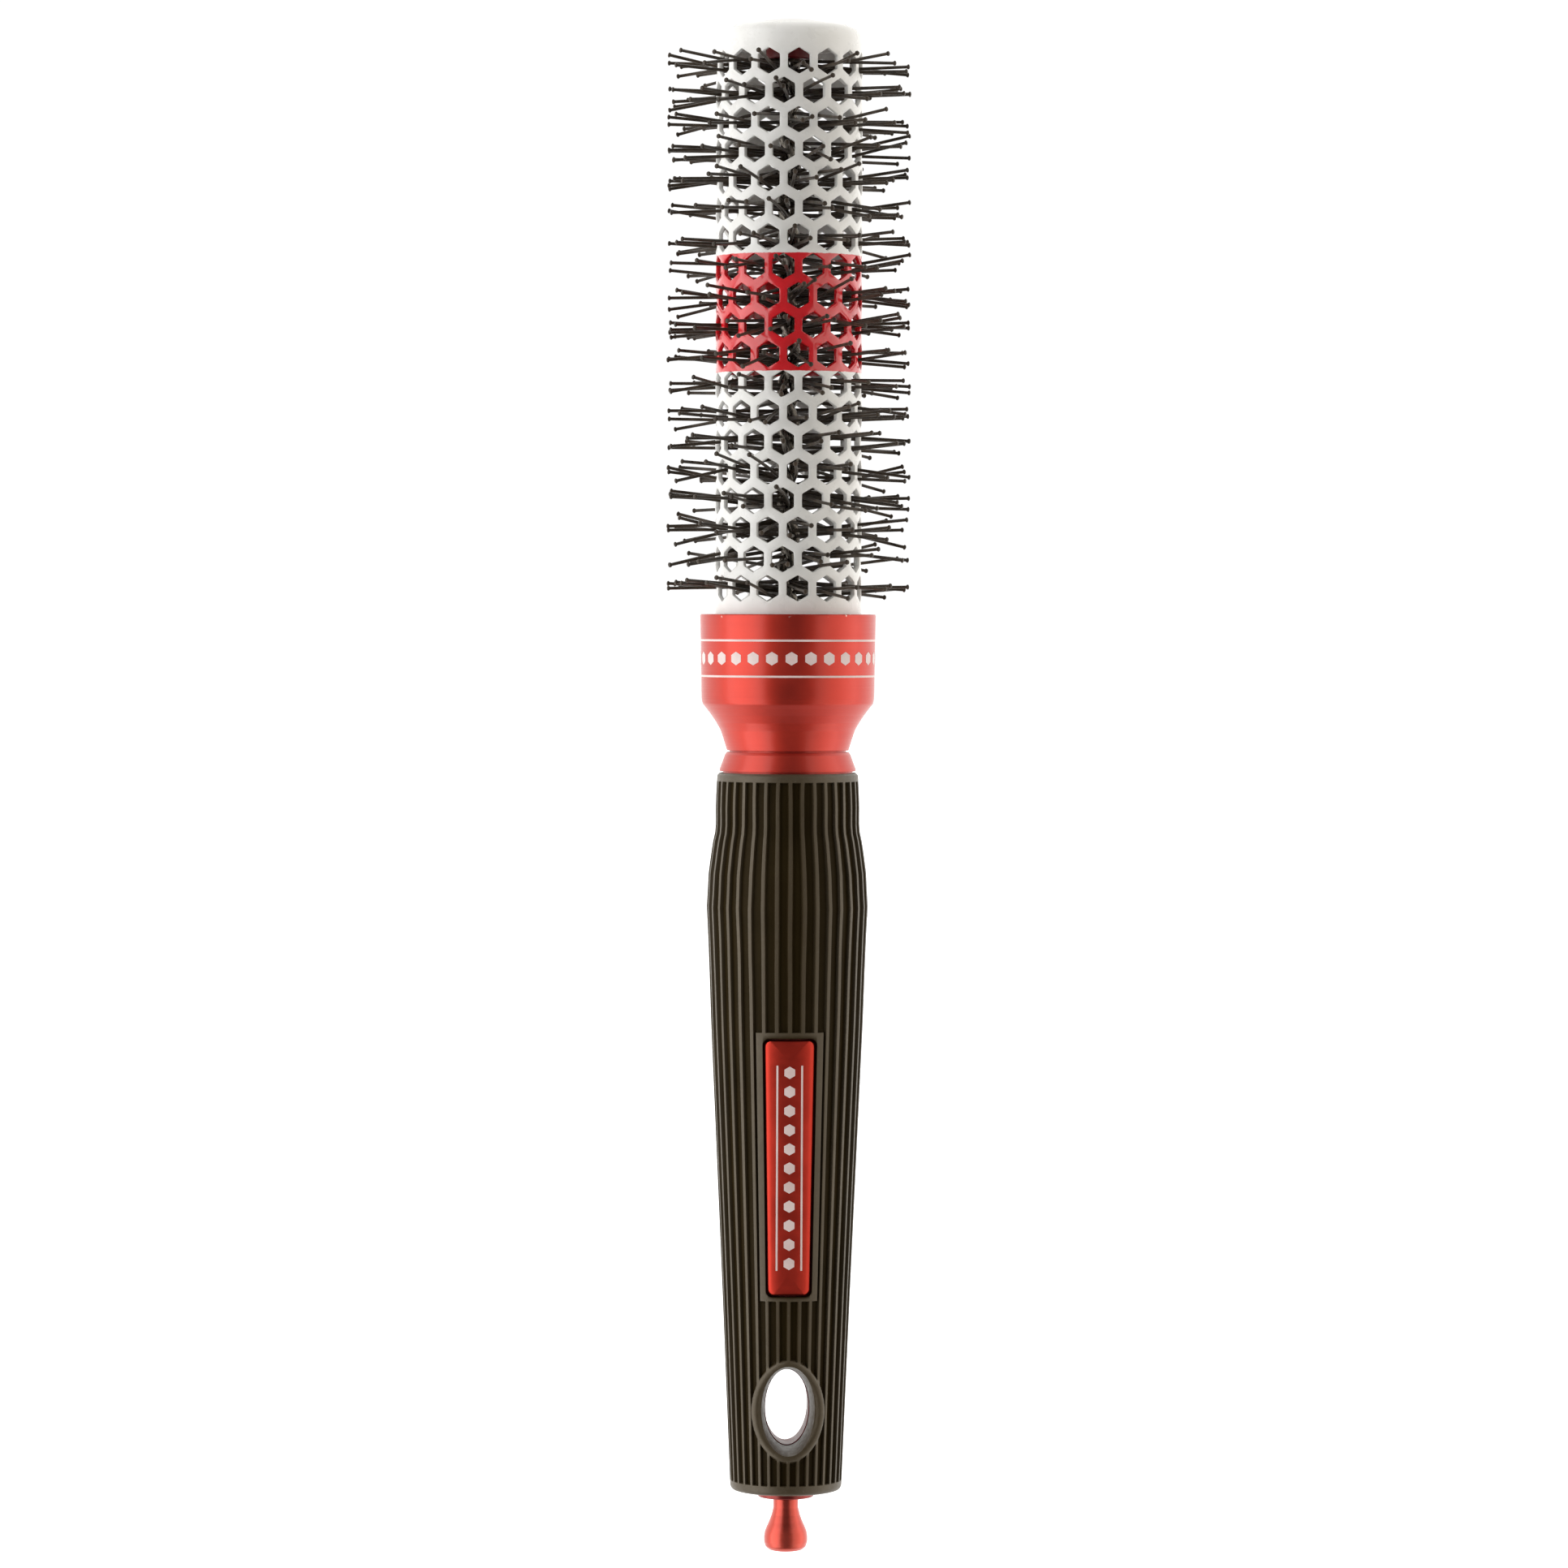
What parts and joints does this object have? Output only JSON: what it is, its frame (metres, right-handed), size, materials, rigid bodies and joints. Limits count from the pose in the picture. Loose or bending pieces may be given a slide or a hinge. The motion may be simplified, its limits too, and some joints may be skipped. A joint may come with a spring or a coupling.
{
  "type": "round hairbrush",
  "caption": "Vented round hairbrush with a perforated ceramic-coated barrel, radial bristles on a twisted wire, a flared collar, a ribbed rubber grip and a hanging hole.",
  "frame": {"origin": "lowest point of the tail tip, on the brush's long axis", "axes": "+Z along the brush towards the barrel's end cap; -Y out of the front of the grip, where the badge window is; +X to the right seen from the front"},
  "size_m": [0.042, 0.0418, 0.262],
  "materials": {
    "end_cap": "satin white",
    "end_plug": "satin dark red",
    "barrel_tube": "semi-gloss white ceramic coat with a red temperature-indicator band",
    "wire_steel": "drawn wire, dull",
    "bristle_nylon": "dark brown-black nylon",
    "barrel_bush": "plain moulded",
    "collar_cup": "satin red anodised",
    "ferrule_ring": "satin red anodised",
    "handle_core": "satin red",
    "grip_sleeve": "matt dark grey-brown soft rubber",
    "badge_plate": "satin red anodised",
    "tail_washer": "satin red anodised",
    "tail_tip": "satin red anodised"
  },
  "bodies": {
    "root": {"end_cap": "end_cap", "end_plug": "end_plug", "barrel_tube": "barrel_tube", "core_wire_a": "wire_steel", "core_wire_b": "wire_steel", "bristle_row_01": "bristle_nylon", "bristle_row_02": "bristle_nylon", "bristle_row_03": "bristle_nylon", "bristle_row_04": "bristle_nylon", "bristle_row_05": "bristle_nylon", "bristle_row_06": "bristle_nylon", "bristle_row_07": "bristle_nylon", "bristle_row_08": "bristle_nylon", "bristle_row_09": "bristle_nylon", "bristle_row_10": "bristle_nylon", "bristle_row_11": "bristle_nylon", "bristle_row_12": "bristle_nylon", "bristle_row_13": "bristle_nylon", "bristle_row_14": "bristle_nylon", "bristle_row_15": "bristle_nylon", "bristle_row_16": "bristle_nylon", "bristle_row_17": "bristle_nylon", "bristle_row_18": "bristle_nylon", "bristle_row_19": "bristle_nylon", "barrel_bush": "barrel_bush", "collar_cup": "collar_cup", "ferrule_ring": "ferrule_ring", "handle_core": "handle_core", "grip_sleeve": "grip_sleeve", "badge_plate": "badge_plate", "tail_washer": "tail_washer", "tail_tip": "tail_tip"}
  },
  "joints": []
}
